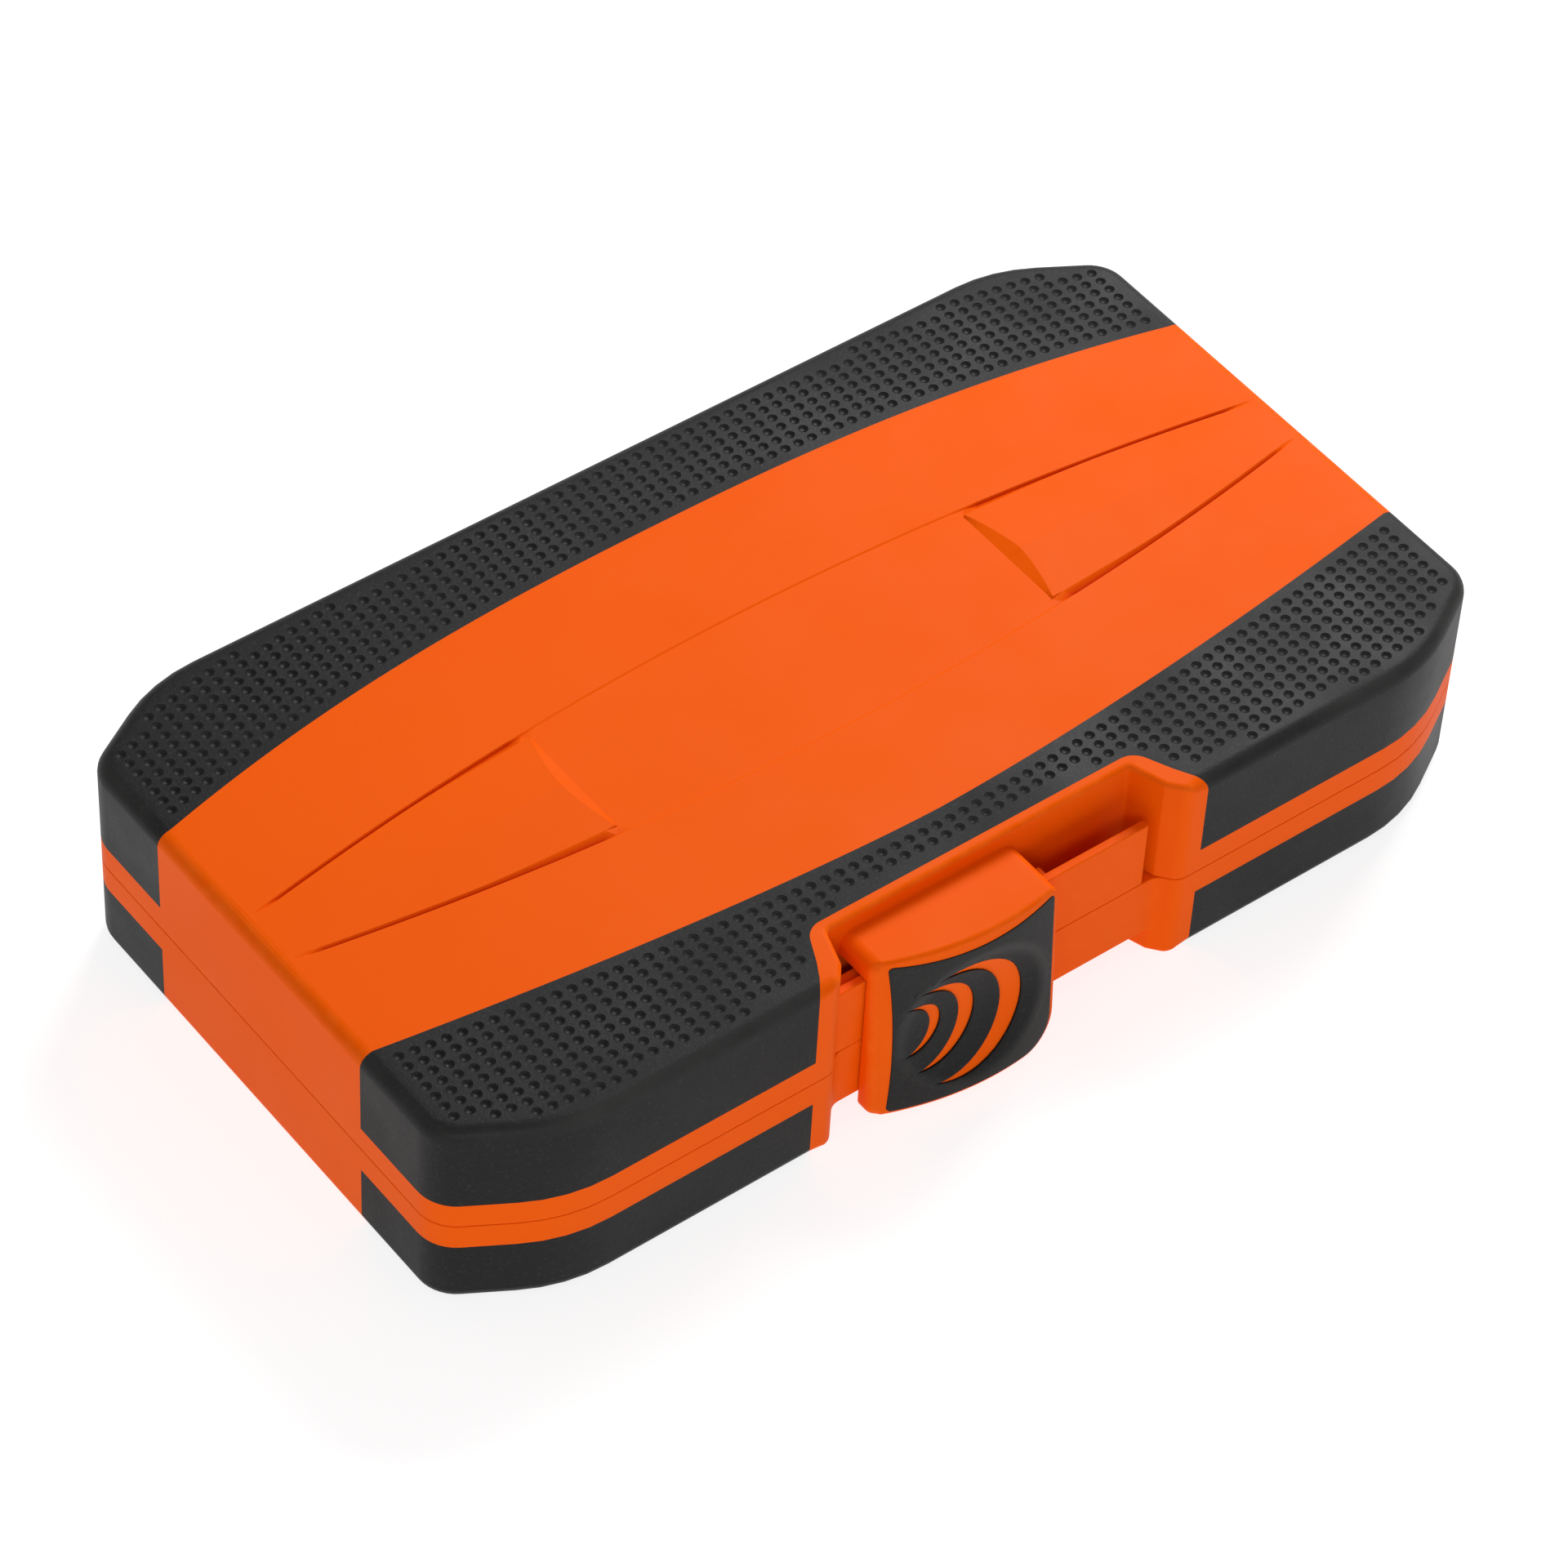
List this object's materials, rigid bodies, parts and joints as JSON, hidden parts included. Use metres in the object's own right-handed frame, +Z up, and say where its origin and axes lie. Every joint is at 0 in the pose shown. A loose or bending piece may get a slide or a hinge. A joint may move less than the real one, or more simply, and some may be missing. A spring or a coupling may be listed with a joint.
{
  "type": "socket wrench set in case",
  "caption": "Hinged plastic tool case with soft grips and a sliding thumb latch, holding a ratchet, sockets, extensions and bits on a tray.",
  "frame": {"origin": "middle of the base's flat underside, on the surface that the case rests on", "axes": "+X along the long side, +Y towards the hinges, +Z up; the latch faces -Y"},
  "size_m": [0.185, 0.1143, 0.036],
  "materials": {
    "orange_plastic": "satin, finely grained",
    "black_rubber": "soft, dimpled grip",
    "dark_plastic": "matt moulding",
    "satin_chrome": "satin chrome plate",
    "tool_steel": "fine brushed"
  },
  "bodies": {
    "base": {"base_shell": "orange_plastic", "base_grip_front": "black_rubber", "base_grip_back": "black_rubber", "hinge_pin_left": "tool_steel", "hinge_pin_right": "tool_steel", "tool_tray": "dark_plastic", "socket_14": "satin_chrome", "socket_13": "satin_chrome", "socket_12": "satin_chrome", "socket_11": "satin_chrome", "socket_10": "satin_chrome", "socket_9": "satin_chrome", "socket_8": "satin_chrome", "socket_7": "satin_chrome", "socket_6": "satin_chrome", "socket_5_5": "satin_chrome", "socket_5": "satin_chrome", "socket_4_5": "satin_chrome", "socket_4": "satin_chrome", "bit_adaptor": "satin_chrome", "bit_slotted_4": "tool_steel", "bit_slotted_5_5": "tool_steel", "bit_slotted_6_5": "tool_steel", "bit_cross_1": "tool_steel", "bit_cross_2": "tool_steel", "bit_cross_3": "tool_steel", "bit_hex_3": "tool_steel", "bit_hex_4": "tool_steel", "bit_hex_5": "tool_steel", "bit_hex_6": "tool_steel", "long_extension": "satin_chrome", "long_extension_ball": "satin_chrome", "short_extension": "satin_chrome", "short_extension_ball": "satin_chrome", "ratchet_body": "satin_chrome", "ratchet_handle": "black_rubber", "gear_cover": "tool_steel"},
    "lid": {"lid_shell": "orange_plastic", "lid_grip_front": "black_rubber", "lid_grip_back": "black_rubber"},
    "latch": {"latch_slider": "orange_plastic", "latch_pad": "black_rubber"},
    "drive": {"drive_square": "satin_chrome", "drive_ball": "satin_chrome"},
    "release": {"release_button": "satin_chrome"},
    "reverser": {"reversing_lever": "satin_chrome", "pawl": "tool_steel"}
  },
  "joints": [
    {"name": "lid_hinge", "type": "hinge", "parent": "base", "child": "lid", "pos_m": [0, 0.05425, 0.016], "axis": [-1, 0, 0], "range_deg": [0, 110]},
    {"name": "latch_slide", "type": "slide", "parent": "lid", "child": "latch", "axis": [1, 0, 0], "range_m": [0, 0.018]},
    {"name": "drive_spin", "type": "hinge", "parent": "base", "child": "drive", "pos_m": [-0.066, 0.033, 0.0128], "axis": [0, 0, 1], "continuous": true},
    {"name": "release_press", "type": "slide", "parent": "drive", "child": "release", "axis": [0, 0, -1], "range_m": [0, 0.0015], "stiffness_N_per_m": 600, "springref_m": -0.0005},
    {"name": "lever_flip", "type": "hinge", "parent": "base", "child": "reverser", "pos_m": [-0.0548, 0.033, 0.0236], "axis": [0, 0, 1], "range_deg": [-20, 20]}
  ]
}
